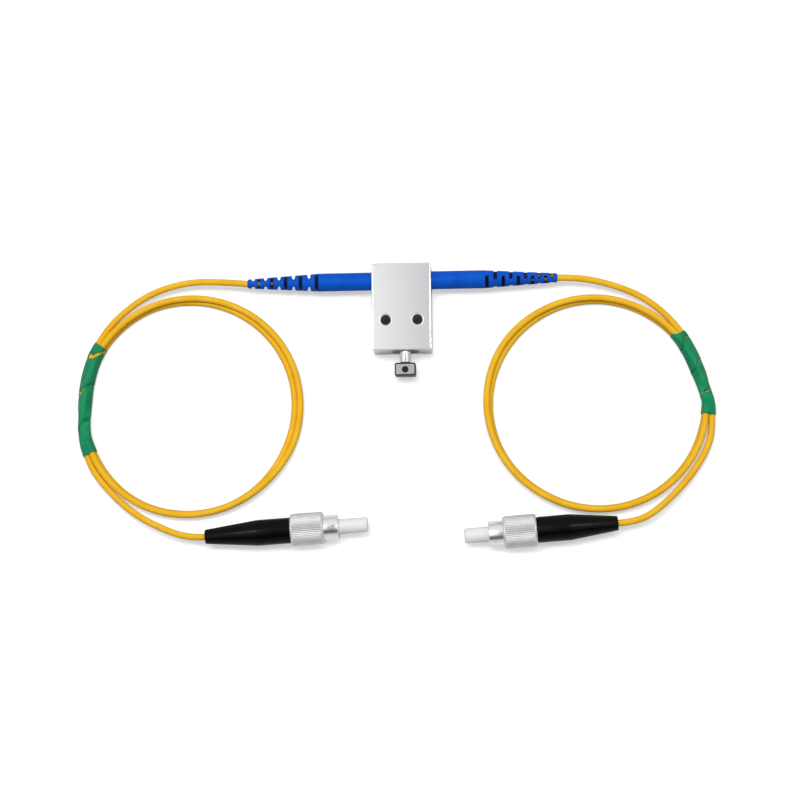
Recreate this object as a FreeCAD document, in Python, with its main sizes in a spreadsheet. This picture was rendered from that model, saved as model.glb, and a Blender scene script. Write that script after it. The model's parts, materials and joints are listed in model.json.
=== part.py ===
import FreeCAD, Part
import math
import os
import re
import Sketcher

# Manual in-line variable optical attenuator with two coiled pigtails and threaded fibre plugs.
# Millimetres. Origin at the middle of the housing's base, X along the fibre line, Y to the back, Z up.

os.makedirs("parts", exist_ok=True)
doc = FreeCAD.newDocument("attenuator")

SIZES = (
    # housing
    ("housing_width", 18.0),
    ("housing_length", 26.5),
    ("housing_height", 10.0),
    ("housing_corner", 0.35),
    ("housing_bevel", 0.25),
    ("axis_height", 5.0),
    ("beam_setback", 4.65),
    ("mount_spacing", 9.6),
    ("mount_setback", 9.05),
    ("mount_bore", 3.2),
    ("mount_bevel", 0.4),
    # fits: glued or pressed, and running
    ("fit_gap", 0.02),
    ("run_gap", 0.05),
    # fibre optics
    ("cable_diameter", 2.0),
    ("fibre_diameter", 0.9),
    ("lens_diameter", 1.8),
    ("lens_inset", 0.2),
    ("lens_length", 4.4),
    ("lens_space", 0.1),
    ("capillary_length", 4.6),
    ("collimator_diameter", 3.2),
    ("collimator_length", 10.0),
    ("beam_gap", 4.4),
    # cable anchors and strain reliefs on the housing
    ("post_diameter", 4.2),
    ("post_depth", 1.5),
    ("post_collar", 4.0),
    ("post_length", 11.0),
    ("crimp_diameter", 3.4),
    ("sleeve_wall", 0.35),
    ("relief_diameter", 5.5),
    ("relief_straight", 16.0),
    ("relief_length", 38.3),
    ("relief_tip", 2.8),
    ("relief_round", 0.4),
    ("relief_left_turn", -10.0),
    ("relief_right_turn", 45.0),
    ("slot_width", 0.56),
    ("slot_flare", 0.6),
    ("slot_floor", 0.5),
    ("slot_lead", 0.9),
    ("slot_end", 1.75),
    ("slot_fall", 0.032),
    # attenuating screw and shutter
    ("screw_offset", 0.8),
    ("screw_diameter", 3.5),
    ("screw_exposed", 3.4),
    ("screw_reach", 7.2),
    ("screw_nose", 2.4),
    ("screw_nose_length", 1.6),
    ("bush_diameter", 6.0),
    ("bush_length", 6.5),
    ("bush_rim", 8.6),
    ("bush_rim_depth", 1.0),
    ("knob_width", 6.8),
    ("knob_length", 4.6),
    ("knob_thickness", 4.4),
    ("knob_round", 0.6),
    ("knob_bevel", 0.45),
    ("stub_diameter", 2.2),
    ("stub_length", 3.4),
    ("grub_diameter", 2.0),
    ("grub_inset", 0.15),
    ("grub_socket", 1.0),
    ("grub_socket_depth", 0.5),
    ("chamber_diameter", 3.8),
    ("chamber_depth", 16.0),
    ("pin_head_length", 1.2),
    ("pin_diameter", 2.0),
    ("pin_clear", 1.4),
    ("pin_bevel", 0.3),
    ("spring_wire", 0.4),
    ("spring_turns", 3.0),
    # fibre plugs
    ("plug_boot_left_length", 25.9),
    ("plug_boot_right_length", 24.2),
    ("plug_boot_straight", 10.0),
    ("plug_boot_diameter", 7.8),
    ("plug_boot_tail", 4.3),
    ("plug_boot_round", 0.5),
    ("nut_diameter", 9.8),
    ("nut_length", 10.0),
    ("nut_space", 0.1),
    ("nut_bevel", 0.25),
    ("nut_lip", 1.6),
    ("flute_count", 40),
    ("flute_depth", 0.28),
    ("stem_diameter", 5.9),
    ("stem_seat", 2.4),
    ("stem_length", 7.0),
    ("spigot_diameter", 5.0),
    ("spigot_length", 1.5),
    ("tail_post_length", 7.6),
    ("barrel_diameter", 7.5),
    ("barrel_front", 14.5),
    ("barrel_bevel", 0.3),
    ("recess_diameter", 4.8),
    ("recess_depth", 3.4),
    ("recess_floor", 1.0),
    ("ferrule_diameter", 2.5),
    ("ferrule_tip", 18.6),
    ("ferrule_bevel", 0.3),
    ("flange_diameter", 3.7),
    ("flange_length", 2.5),
    ("flange_seat", 2.1),
    ("flange_tail", 1.7),
    ("flange_tail_length", 6.0),
    ("ferrule_spring_length", 6.0),
    ("cap_diameter", 4.5),
    ("cap_length", 10.5),
    ("cap_left_seat", 1.75),
    ("cap_right_seat", 0.1),
    ("cap_wall", 2.6),
    ("cap_round", 0.8),
    # where the plugs and coils lie
    ("plug_left_x", -34.3),
    ("plug_left_y", -66.9),
    ("plug_left_yaw", 3.6),
    ("plug_right_x", 39.6),
    ("plug_right_y", -67.8),
    ("plug_right_yaw", 184.0),
    ("coil_left_x", -65.4),
    ("coil_left_y", -28.6),
    ("coil_right_x", 58.5),
    ("coil_right_y", -29.7),
    ("coil_left_radius", 32.75),
    ("coil_right_radius", 32.2),
    ("coil_width", 2.7),
    ("coil_height", 3.9),
    ("tape_cover", 0.15),
    ("tape_left_start", 145.0),
    ("tape_left_span", 59.5),
    ("tape_right_start", -6.5),
    ("tape_right_span", 48.5),
)
slot_count = 10
sheath_flats = 10
tape_flats = 12
tape_stations = 7

sheet = doc.addObject("Spreadsheet::Sheet", "sizes")
for row, (alias, size) in enumerate(SIZES, 1):
    sheet.set("A%d" % row, alias)
    sheet.set("B%d" % row, str(size))
    sheet.setAlias("B%d" % row, alias)
doc.recompute()

# Sizes that follow from the driving ones, each an expression in their names.
beam_y = "(housing_length / 2 - beam_setback)"
front_y = "(-housing_length / 2)"
beam_depth = "(housing_length - beam_setback)"
beam_bore = "(collimator_diameter / 2 + fit_gap)"
lens_bore = "(lens_diameter / 2 + fit_gap)"
collimator_start = "(beam_gap / 2 - housing_width / 2)"
lens_start = "(%s + lens_inset)" % collimator_start
capillary_start = "(%s + lens_length + lens_space)" % lens_start
capillary_end = "(%s + capillary_length)" % capillary_start
cable_bore = "(cable_diameter / 2 + fit_gap)"
fibre_bore = "(fibre_diameter / 2 + fit_gap)"
sleeve_bore = "(crimp_diameter / 2 + fit_gap)"
sleeve_radius = "(%s + sleeve_wall)" % sleeve_bore
pin_head_start = "(screw_reach + screw_nose_length + fit_gap)"
pin_head_end = "(%s + pin_head_length)" % pin_head_start
pin_bore = "(pin_diameter / 2 + run_gap)"
plug_z = "(nut_diameter / 2)"
barrel_rear = "(stem_length)"
recess_start = "(barrel_front - recess_depth)"
flange_front = "(%s - recess_floor - fit_gap)" % recess_start
flange_rear = "(%s - flange_length)" % flange_front
spring_seat = "(%s - ferrule_spring_length)" % flange_rear
stem_bore = "(flange_diameter / 2 + run_gap)"
nut_bore = "(barrel_diameter / 2 + run_gap)"
lip_bore = "(stem_diameter / 2 + run_gap)"
nut_front = "(nut_space + nut_length)"
cap_bore = "(ferrule_diameter / 2 + run_gap / 2)"


# Ties each name in an expression to its cell of the sheet.
def linked(expression):
    return re.sub(r"\b[a-z]+_[a-z_]+\b", r"sizes.\g<0>", str(expression))


# The present value of an expression.
def value(expression):
    return float(sheet.evalExpression(linked(expression)))


def origin_feature(body, role):
    return next(feature for feature in body.Origin.OriginFeatures if feature.Role == role)


def new_body(name):
    body = doc.addObject("PartDesign::Body", name)
    body.Label = name
    return body


def new_sketch(body, name, role):
    sketch = body.newObject("Sketcher::SketchObject", name)
    sketch.AttachmentSupport = [(origin_feature(body, role), "")]
    sketch.MapMode = "FlatFace"
    return sketch


# Moves a sketch within its body, with a turn about the plane's normal.
def shift_sketch(sketch, x, y, z, turn=0):
    spin = FreeCAD.Rotation(FreeCAD.Vector(0, 0, 1), turn)
    sketch.AttachmentOffset = FreeCAD.Placement(FreeCAD.Vector(value(x), value(y), value(z)), spin)
    for letter, expression in zip("xyz", (x, y, z)):
        sketch.setExpression("AttachmentOffset.Base." + letter, linked(expression))


# Adds a constraint and ties it to the sheet.
def tie(sketch, constraint, expression):
    index = sketch.addConstraint(constraint)
    sketch.setExpression("Constraints[%d]" % index, linked(expression))


# Draws a closed outline of straight edges; each corner is a pair of expressions.
def add_outline(sketch, corners):
    first = sketch.GeometryCount
    points = [FreeCAD.Vector(value(x), value(y), 0) for x, y in corners]
    count = len(points)
    for index in range(count):
        sketch.addGeometry(Part.LineSegment(points[index], points[(index + 1) % count]), False)
    for index in range(count):
        after = first + (index + 1) % count
        sketch.addConstraint(Sketcher.Constraint("Coincident", first + index, 2, after, 1))
    for index, (x, y) in enumerate(corners):
        line = first + index
        for kind, axis, expression, size in (
            ("DistanceX", -2, x, points[index].x),
            ("DistanceY", -1, y, points[index].y),
        ):
            if str(expression) == "0":
                sketch.addConstraint(Sketcher.Constraint("PointOnObject", line, 1, axis))
            else:
                tie(sketch, Sketcher.Constraint(kind, -1, 1, line, 1, size), expression)


def add_circle(sketch, x, y, radius):
    middle = FreeCAD.Vector(value(x), value(y), 0)
    index = sketch.addGeometry(Part.Circle(middle, FreeCAD.Vector(0, 0, 1), value(radius)), False)
    tie(sketch, Sketcher.Constraint("Radius", index, value(radius)), radius)
    for kind, axis, expression, size in (
        ("DistanceX", -2, x, middle.x),
        ("DistanceY", -1, y, middle.y),
    ):
        if str(expression) == "0":
            sketch.addConstraint(Sketcher.Constraint("PointOnObject", index, 3, axis))
        else:
            tie(sketch, Sketcher.Constraint(kind, -1, 1, index, 3, size), expression)


def finish_feature(body, feature):
    body.Tip = feature
    doc.recompute()
    return feature


# Turns a half profile, drawn as distance along X and radius, round the body's X axis.
def turned(name, profile):
    body = new_body(name)
    sketch = new_sketch(body, name + "_profile", "XY_Plane")
    add_outline(sketch, profile)
    turn = body.newObject("PartDesign::Revolution", name + "_turn")
    turn.Profile = sketch
    turn.ReferenceAxis = (sketch, ["H_Axis"])
    turn.Angle = 360
    finish_feature(body, turn)
    return body


# Turns out a stepped bore round a line in the body.
def turned_bore(body, name, profile, x, y, z, turn):
    sketch = new_sketch(body, name + "_profile", "XY_Plane")
    add_outline(sketch, profile)
    shift_sketch(sketch, x, y, z, turn)
    groove = body.newObject("PartDesign::Groove", name)
    groove.Profile = sketch
    groove.ReferenceAxis = (sketch, ["H_Axis"])
    groove.Angle = 360
    return finish_feature(body, groove)


def pad(body, name, sketch, length):
    feature = body.newObject("PartDesign::Pad", name)
    feature.Profile = sketch
    feature.Length = value(length)
    feature.setExpression("Length", linked(length))
    return finish_feature(body, feature)


# Cuts a sketch right through the body, both ways.
def cut_through(body, name, sketch):
    feature = body.newObject("PartDesign::Pocket", name)
    feature.Profile = sketch
    feature.SideType = "Symmetric"
    feature.Type = "ThroughAll"
    return finish_feature(body, feature)


def repeat_round(body, name, feature, count):
    pattern = body.newObject("PartDesign::PolarPattern", name)
    pattern.Originals = [feature]
    pattern.Axis = (origin_feature(body, "X_Axis"), [""])
    pattern.Angle = 360
    pattern.Occurrences = int(count)
    return finish_feature(body, pattern)


# Rounds or bevels the edges of a feature for which the test holds.
def dress(body, name, kind, feature, size, wanted):
    names = []
    for index, edge in enumerate(feature.Shape.Edges, 1):
        if wanted(edge):
            names.append("Edge%d" % index)
    dressing = body.newObject("PartDesign::" + kind, name)
    dressing.Base = (feature, names)
    dimension = "Radius" if kind == "Fillet" else "Size"
    setattr(dressing, dimension, value(size))
    dressing.setExpression(dimension, linked(size))
    return finish_feature(body, dressing)


def place(body, x, y, z, axis=(0, 0, 1), turn="0"):
    spin = FreeCAD.Rotation(FreeCAD.Vector(*axis), value(turn))
    body.Placement = FreeCAD.Placement(FreeCAD.Vector(value(x), value(y), value(z)), spin)
    for letter, expression in zip("xyz", (x, y, z)):
        body.setExpression("Placement.Base." + letter, linked(expression))
    if value(turn) != 0:
        body.setExpression("Placement.Rotation.Angle", linked(turn))


# A tube or rod along X, as a half profile.
def rod(start, end, radius, bore="0"):
    return ((start, bore), (end, bore), (end, radius), (start, radius))


# Aluminium block with the beam bore, the screw bore and two clearance holes.
def make_housing():
    body = new_body("housing")
    sketch = new_sketch(body, "housing_plan", "XY_Plane")
    corners = []
    for x, y in ((-1, -1), (1, -1), (1, 1), (-1, 1)):
        corners.append(("%d * housing_width / 2" % x, "%d * housing_length / 2" % y))
    add_outline(sketch, corners)
    block = pad(body, "housing_block", sketch, "housing_height")
    upright = dress(
        body, "housing_corners", "Chamfer", block, "housing_corner",
        lambda edge: abs(edge.tangentAt(edge.FirstParameter).z) > 0.9,
    )
    top = value("housing_height")
    rims = dress(
        body, "housing_rims", "Chamfer", upright, "housing_bevel",
        lambda edge: edge.BoundBox.ZLength < 1e-6 and abs(edge.BoundBox.ZMin) % top < 1e-6,
    )
    half = "housing_width / 2"
    turned_bore(body, "beam_bore", (
        ("-1 * " + half, "0"),
        (half, "0"),
        (half, "post_diameter / 2 + fit_gap"),
        (half + " - post_depth", "post_diameter / 2 + fit_gap"),
        (half + " - post_depth", beam_bore),
        ("post_depth - " + half, beam_bore),
        ("post_depth - " + half, "post_diameter / 2 + fit_gap"),
        ("-1 * " + half, "post_diameter / 2 + fit_gap"),
    ), "0", beam_y, "axis_height", 0)
    turned_bore(body, "screw_bore", (
        ("0", "0"),
        (beam_depth, "0"),
        (beam_depth, pin_bore),
        ("chamber_depth", pin_bore),
        ("chamber_depth", "chamber_diameter / 2"),
        ("bush_length", "chamber_diameter / 2"),
        ("bush_length", "bush_diameter / 2 + fit_gap"),
        ("bush_rim_depth", "bush_diameter / 2 + fit_gap"),
        ("bush_rim_depth", "bush_rim / 2 + fit_gap"),
        ("0", "bush_rim / 2 + fit_gap"),
    ), "screw_offset", front_y, "axis_height", 90)
    holes = new_sketch(body, "mount_plan", "XY_Plane")
    for sign in (-1, 1):
        add_circle(holes, "%d * mount_spacing / 2" % sign, front_y + " + mount_setback", "mount_bore / 2")
    drilled = cut_through(body, "mount_holes", holes)
    dress(
        body, "mount_rims", "Chamfer", drilled, "mount_bevel",
        lambda edge: edge.Curve.TypeId == "Part::GeomCircle"
        and abs(edge.Curve.Radius - value("mount_bore") / 2) < 1e-4
        and edge.BoundBox.ZLength < 1e-6,
    )
    return [body]


# Screw, knob and shutter, drawn along the screw from the housing's front face inwards.
def make_adjuster():
    exposed = "-1 * screw_exposed"
    screw_radius = "screw_diameter / 2"
    bush_bore = screw_radius + " + run_gap"
    bush = turned("screw_bush", (
        ("0", bush_bore),
        ("bush_length", bush_bore),
        ("bush_length", "bush_diameter / 2"),
        ("bush_rim_depth", "bush_diameter / 2"),
        ("bush_rim_depth", "bush_rim / 2"),
        ("0", "bush_rim / 2"),
    ))
    screw = turned("adjusting_screw", (
        (exposed + " - stub_length", "0"),
        ("screw_reach + screw_nose_length", "0"),
        ("screw_reach + screw_nose_length", "screw_nose / 2"),
        ("screw_reach", "screw_nose / 2"),
        ("screw_reach", screw_radius),
        (exposed, screw_radius),
        (exposed, "stub_diameter / 2"),
        (exposed + " - stub_length", "stub_diameter / 2"),
    ))
    pin_tip = beam_depth + " - pin_clear"
    pin = turned("shutter_pin", (
        (pin_head_start, "0"),
        (pin_tip, "0"),
        (pin_tip, "pin_diameter / 2 - pin_bevel"),
        (pin_tip + " - pin_bevel", "pin_diameter / 2"),
        (pin_head_end, "pin_diameter / 2"),
        (pin_head_end, "chamber_diameter / 2 - run_gap"),
        (pin_head_start, "chamber_diameter / 2 - run_gap"),
    ))
    spring_radius = "(pin_diameter + chamber_diameter) / 4"
    spring = coil_spring("return_spring", pin_head_end, "chamber_depth", spring_radius)
    parts = [bush, screw, pin, spring, make_knob(), make_grub()]
    for body in parts:
        place(body, "screw_offset", front_y, "axis_height", turn="90")
    return parts


# Square-section spring between two faces on the X axis.
def coil_spring(name, start, end, radius):
    body = new_body(name)
    sketch = new_sketch(body, name + "_wire", "XY_Plane")
    inner = radius + " - spring_wire / 2"
    outer = radius + " + spring_wire / 2"
    low = start + " + fit_gap"
    add_outline(sketch, rod(low, low + " + spring_wire", outer, inner))
    helix = body.newObject("PartDesign::AdditiveHelix", name + "_turns")
    helix.Profile = sketch
    helix.ReferenceAxis = (sketch, ["H_Axis"])
    helix.Mode = "height-turns-angle"
    height = end + " - " + start + " - spring_wire - 2 * fit_gap"
    helix.Height = value(height)
    helix.setExpression("Height", linked(height))
    helix.Turns = value("spring_turns")
    helix.setExpression("Turns", linked("spring_turns"))
    finish_feature(body, helix)
    return body


# Flat-faced knob, bored for the screw's stub and drilled from its top face for a grub screw.
def make_knob():
    body = new_body("knob")
    sketch = new_sketch(body, "knob_section", "YZ_Plane")
    corners = []
    for x, y in ((-1, -1), (1, -1), (1, 1), (-1, 1)):
        corners.append(("%d * knob_width / 2" % x, "%d * knob_thickness / 2" % y))
    add_outline(sketch, corners)
    shift_sketch(sketch, "0", "0", "-1 * screw_exposed - knob_length")
    block = pad(body, "knob_block", sketch, "knob_length")
    upright = dress(
        body, "knob_corners", "Fillet", block, "knob_round",
        lambda edge: abs(edge.tangentAt(edge.FirstParameter).z) > 0.9,
    )
    half = value("knob_thickness / 2")
    dress(
        body, "knob_rims", "Chamfer", upright, "knob_bevel",
        lambda edge: edge.BoundBox.ZLength < 1e-6 and abs(abs(edge.BoundBox.ZMin) - half) < 1e-6,
    )
    turned_bore(body, "knob_bore", (
        ("-1 * screw_exposed - stub_length", "0"),
        ("0", "0"),
        ("0", "stub_diameter / 2 + fit_gap"),
        ("-1 * screw_exposed - stub_length", "stub_diameter / 2 + fit_gap"),
    ), "0", "0", "0", 0)
    hole = new_sketch(body, "grub_plan", "XY_Plane")
    add_circle(hole, "-1 * screw_exposed - knob_length / 2", "0", "grub_diameter / 2 + fit_gap")
    cut = body.newObject("PartDesign::Pocket", "grub_hole")
    cut.Profile = hole
    cut.Type = "ThroughAll"
    cut.Reversed = True
    finish_feature(body, cut)
    return body


# Hexagon-socket grub screw that clamps the knob to the stub.
def make_grub():
    body = new_body("knob_grub_screw")
    sketch = new_sketch(body, "grub_section", "XY_Plane")
    middle = "-1 * screw_exposed - knob_length / 2"
    add_circle(sketch, "0", "0", "grub_diameter / 2")
    shift_sketch(sketch, middle, "0", "stub_diameter / 2")
    length = "knob_thickness / 2 - stub_diameter / 2 - grub_inset"
    shank = pad(body, "grub_shank", sketch, length)
    socket = new_sketch(body, "grub_socket_plan", "XY_Plane")
    corners = []
    for corner in range(6):
        angle = math.radians(60 * corner + 30)
        share = 1 / math.sqrt(3)
        x = "grub_socket * %.6f" % (share * math.cos(angle))
        y = "grub_socket * %.6f" % (share * math.sin(angle))
        corners.append((x if abs(math.cos(angle)) > 1e-9 else "0", y))
    add_outline(socket, corners)
    shift_sketch(socket, middle, "0", "knob_thickness / 2 - grub_inset")
    cut = body.newObject("PartDesign::Pocket", "grub_socket_cut")
    cut.Profile = socket
    cut.Length = value("grub_socket_depth")
    cut.setExpression("Length", linked("grub_socket_depth"))
    finish_feature(body, cut)
    return body


# Collimator, cable anchor and strain relief of one side, drawn outwards from the housing's side face.
def make_side(side):
    collimator = turned("collimator_tube_" + side, rod(
        collimator_start, collimator_start + " + collimator_length", "collimator_diameter / 2", lens_bore))
    lens_end = lens_start + " + lens_length"
    lens = turned("collimator_lens_" + side, rod(lens_start, lens_end, "lens_diameter / 2"))
    capillary = turned("fibre_capillary_" + side, rod(capillary_start, capillary_end, "lens_diameter / 2"))
    fibre = turned("buffered_fibre_" + side, rod(capillary_end, "post_length", "fibre_diameter / 2"))
    shoulder = collimator_start + " + collimator_length + fit_gap"
    post = turned("cable_post_" + side, (
        ("-1 * post_depth", beam_bore),
        (shoulder, beam_bore),
        (shoulder, fibre_bore),
        ("post_length", fibre_bore),
        ("post_length", "crimp_diameter / 2"),
        ("post_collar", "crimp_diameter / 2"),
        ("post_collar", "post_diameter / 2"),
        ("-1 * post_depth", "post_diameter / 2"),
    ))
    sleeve = turned("crimp_sleeve_" + side, rod(
        "post_collar + fit_gap", "post_length", sleeve_radius, sleeve_bore))
    cable = turned("cable_in_relief_" + side, rod("post_length", "relief_length", "cable_diameter / 2"))
    relief = make_relief(side)
    parts = [collimator, lens, capillary, fibre, post, sleeve, cable, relief]
    for body in parts:
        if side == "right":
            place(body, "housing_width / 2", beam_y, "axis_height")
        else:
            place(body, "-1 * housing_width / 2", beam_y, "axis_height", turn="180")
    if side == "right":
        place(relief, "housing_width / 2", beam_y, "axis_height", axis=(1, 0, 0), turn="relief_right_turn")
    else:
        # half a turn about a tilted line also turns the sleeve about its own axis, by twice the tilt
        tilt = math.radians(value("relief_left_turn / 2"))
        across = (0, math.sin(tilt), math.cos(tilt))
        place(relief, "-1 * housing_width / 2", beam_y, "axis_height", axis=across, turn="180")
    return parts


# Moulded strain relief: plain grip, then a taper cut by pairs of slots that alternate by a quarter turn.
# The slots widen outwards and come closer together towards the tip.
def make_relief(side):
    name = "strain_relief_" + side
    inner = "post_diameter / 2 + fit_gap"
    body = turned(name, (
        ("0", inner),
        ("post_length + fit_gap", inner),
        ("post_length + fit_gap", cable_bore),
        ("relief_length", cable_bore),
        ("relief_length", "relief_tip / 2 - relief_round / 2"),
        ("relief_length - relief_round / 2", "relief_tip / 2"),
        ("relief_straight", "relief_diameter / 2"),
        ("0", "relief_diameter / 2"),
    ))
    steps = [1 - value("slot_fall") * k for k in range(slot_count - 1)]
    run = "(relief_length - relief_straight - slot_lead - slot_end)"
    for offset, plane in enumerate(("XZ_Plane", "XY_Plane")):
        sketch = new_sketch(body, "%s_slots_%d" % (name, offset), plane)
        for k in range(offset, slot_count, 2):
            along = "(slot_lead + %s * %.5f)" % (run, sum(steps[:k]) / sum(steps))
            middle = "relief_straight + " + along
            taper = "(relief_diameter - relief_tip) / 2 * %s / (relief_length - relief_straight)" % along
            radius = "(relief_diameter / 2 - %s)" % taper
            floor = "slot_floor * " + radius
            # drawn as far above the surface as it is deep
            mouth = "(2 - slot_floor) * " + radius
            add_outline(sketch, (
                (middle + " - slot_width / 2", floor),
                (middle + " + slot_width / 2", floor),
                (middle + " + slot_width / 2 + 2 * slot_flare", mouth),
                (middle + " - slot_width / 2 - 2 * slot_flare", mouth),
            ))
        slots = cut_through(body, "%s_cut_%d" % (name, offset), sketch)
        repeat_round(body, "%s_pair_%d" % (name, offset), slots, 2)
    return body


# Threaded fibre plug, drawn along its axis from the rear face of the nut towards the ferrule's tip.
def make_plug(side):
    boot_tail = "-1 * plug_boot_%s_length" % side
    post_end = "-1 * stem_seat - tail_post_length"
    boot_sleeve = "%s + fit_gap" % sleeve_radius
    stem_radius = "stem_diameter / 2"
    boot = turned("plug_boot_" + side, (
        (boot_tail, cable_bore),
        (post_end, cable_bore),
        (post_end, boot_sleeve),
        ("-1 * stem_seat", boot_sleeve),
        ("-1 * stem_seat", stem_radius + " + fit_gap"),
        ("0", stem_radius + " + fit_gap"),
        ("0", "plug_boot_diameter / 2"),
        ("-1 * plug_boot_straight", "plug_boot_diameter / 2"),
        (boot_tail + " + plug_boot_round", "plug_boot_tail / 2"),
        (boot_tail, "plug_boot_tail / 2 - plug_boot_round"),
    ))
    sleeve = turned("plug_crimp_sleeve_" + side, rod(
        post_end + " + fit_gap", "-1 * stem_seat - fit_gap", sleeve_radius, sleeve_bore))
    stem = turned("plug_stem_" + side, (
        (post_end, fibre_bore),
        ("-1 * stem_seat", fibre_bore),
        ("-1 * stem_seat", "flange_tail / 2 + run_gap"),
        (spring_seat, "flange_tail / 2 + run_gap"),
        (spring_seat, stem_bore),
        (barrel_rear + " + spigot_length", stem_bore),
        (barrel_rear + " + spigot_length", "spigot_diameter / 2"),
        (barrel_rear, "spigot_diameter / 2"),
        (barrel_rear, stem_radius),
        ("-1 * stem_seat", stem_radius),
        ("-1 * stem_seat", "crimp_diameter / 2"),
        (post_end, "crimp_diameter / 2"),
    ))
    flange_stop = recess_start + " - recess_floor"
    barrel = turned("plug_barrel_" + side, (
        (barrel_rear, "spigot_diameter / 2 + fit_gap"),
        (barrel_rear + " + spigot_length + fit_gap", "spigot_diameter / 2 + fit_gap"),
        (barrel_rear + " + spigot_length + fit_gap", stem_bore),
        (flange_stop, stem_bore),
        (flange_stop, "ferrule_diameter / 2 + run_gap"),
        (recess_start, "ferrule_diameter / 2 + run_gap"),
        (recess_start, "recess_diameter / 2"),
        ("barrel_front", "recess_diameter / 2"),
        ("barrel_front", "barrel_diameter / 2 - barrel_bevel"),
        ("barrel_front - barrel_bevel", "barrel_diameter / 2"),
        (barrel_rear, "barrel_diameter / 2"),
    ))
    flange = turned("ferrule_flange_" + side, (
        (flange_rear + " - flange_tail_length", fibre_bore),
        (flange_front + " - flange_seat", fibre_bore),
        (flange_front + " - flange_seat", "ferrule_diameter / 2 + fit_gap"),
        (flange_front, "ferrule_diameter / 2 + fit_gap"),
        (flange_front, "flange_diameter / 2"),
        (flange_rear, "flange_diameter / 2"),
        (flange_rear, "flange_tail / 2"),
        (flange_rear + " - flange_tail_length", "flange_tail / 2"),
    ))
    ferrule = turned("ferrule_" + side, (
        (flange_front + " - flange_seat + fit_gap", "0"),
        ("ferrule_tip", "0"),
        ("ferrule_tip", "ferrule_diameter / 2 - ferrule_bevel"),
        ("ferrule_tip - ferrule_bevel", "ferrule_diameter / 2"),
        (flange_front + " - flange_seat + fit_gap", "ferrule_diameter / 2"),
    ))
    spring_radius = "(flange_tail + flange_diameter) / 4"
    spring = coil_spring("ferrule_spring_" + side, spring_seat, flange_rear, spring_radius)
    cable = turned("cable_in_plug_" + side, rod(boot_tail, post_end, "cable_diameter / 2"))
    # the same cap on both plugs, pushed on to a different depth
    cap_start = "%s + cap_%s_seat" % (recess_start, side)
    cap_tip = cap_start + " + cap_length"
    cap = turned("dust_cap_" + side, (
        (cap_start, cap_bore),
        (cap_tip + " - cap_wall", cap_bore),
        (cap_tip + " - cap_wall", "0"),
        (cap_tip, "0"),
        (cap_tip, "cap_diameter / 2 - cap_round"),
        (cap_tip + " - cap_round * 0.3", "cap_diameter / 2 - cap_round * 0.3"),
        (cap_tip + " - cap_round", "cap_diameter / 2"),
        (cap_start, "cap_diameter / 2"),
    ))
    parts = [boot, sleeve, stem, barrel, flange, ferrule, spring, cable, cap, make_nut(side)]
    for body in parts:
        place(body, "plug_%s_x" % side, "plug_%s_y" % side, plug_z, turn="plug_%s_yaw" % side)
    return parts


# Coupling nut with a straight knurl between bevelled collars: one vee cut along it, repeated round it.
def make_nut(side):
    name = "coupling_nut_" + side
    radius = "nut_diameter / 2"
    collar = radius + " - flute_depth"
    body = turned(name, (
        ("nut_space", lip_bore),
        ("nut_space + nut_lip", lip_bore),
        ("nut_space + nut_lip", nut_bore),
        (nut_front, nut_bore),
        (nut_front, collar + " - nut_bevel"),
        (nut_front + " - nut_bevel", collar),
        (nut_front + " - nut_bevel", radius),
        ("nut_space + nut_bevel", radius),
        ("nut_space + nut_bevel", collar),
        ("nut_space", collar + " - nut_bevel"),
    ))
    sketch = new_sketch(body, name + "_vee", "YZ_Plane")
    # a little over half the pitch, so that neighbouring vees meet in a sharp crest
    half_pitch = "nut_diameter / 2 * %.5f" % (1.04 * math.tan(math.pi / value("flute_count")))
    edge = radius + " + flute_depth"
    add_outline(sketch, (
        ("0", radius + " - flute_depth"),
        ("2 * " + half_pitch, edge),
        ("-2 * " + half_pitch, edge),
    ))
    vee = cut_through(body, name + "_flute", sketch)
    repeat_round(body, name + "_knurl", vee, value("flute_count"))
    return body


# Where three passes of cable lie under the tape, at its start, middle and end along the cable:
# how far out from the coil's middle line, and how high.
TAPED_PASSES = (
    ((1.9, 1.7), (1.0, 1.0), (-0.1, 1.0)),
    ((-0.2, 1.0), (-1.0, 1.05), (0.1, 2.95)),
    ((0.1, 2.95), (0.0, 2.75), (1.9, 1.8)),
)


# Angles at which the cable enters and leaves the tape. Seen from above, the left cable runs round
# with rising angle and the right one with falling angle.
def tape_ends(side):
    low = value("tape_%s_start" % side)
    high = low + value("tape_%s_span" % side)
    return (low, high) if side == "left" else (high, low)


# A pass of cable at a share of the way along the tape, easing from each of its three spots to the next.
def taped_spot(spots, share):
    half = 0 if share < 0.5 else 1
    local = 2 * share - half
    local = local * local * (3 - 2 * local)
    before = FreeCAD.Vector(spots[half][0], 0, spots[half][1])
    after = FreeCAD.Vector(spots[half + 1][0], 0, spots[half + 1][1])
    return before + (after - before) * local


# The tape's closed outline round the three passes, in a plane through the coil's upright axis.
def tape_outline(side, share):
    first, last = tape_ends(side)
    spin = FreeCAD.Rotation(FreeCAD.Vector(0, 0, 1), first + (last - first) * share)
    centre = FreeCAD.Vector(value("coil_%s_x" % side), value("coil_%s_y" % side), 0)
    passes = [taped_spot(spots, share) for spots in TAPED_PASSES]
    lift = value("cable_diameter / 2 + tape_cover")
    corners = []
    for index in range(tape_flats):
        lean = 2 * math.pi * (index + 0.5) / tape_flats
        facing = FreeCAD.Vector(math.cos(lean), 0, math.sin(lean))
        corner = max(passes, key=lambda spot: spot.dot(facing)) + facing * lift
        corner.x += value("coil_%s_radius" % side)
        corner.z = max(corner.z, 0)
        corners.append(centre + spin.multVec(corner))
    return corners + corners[:1]


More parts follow.
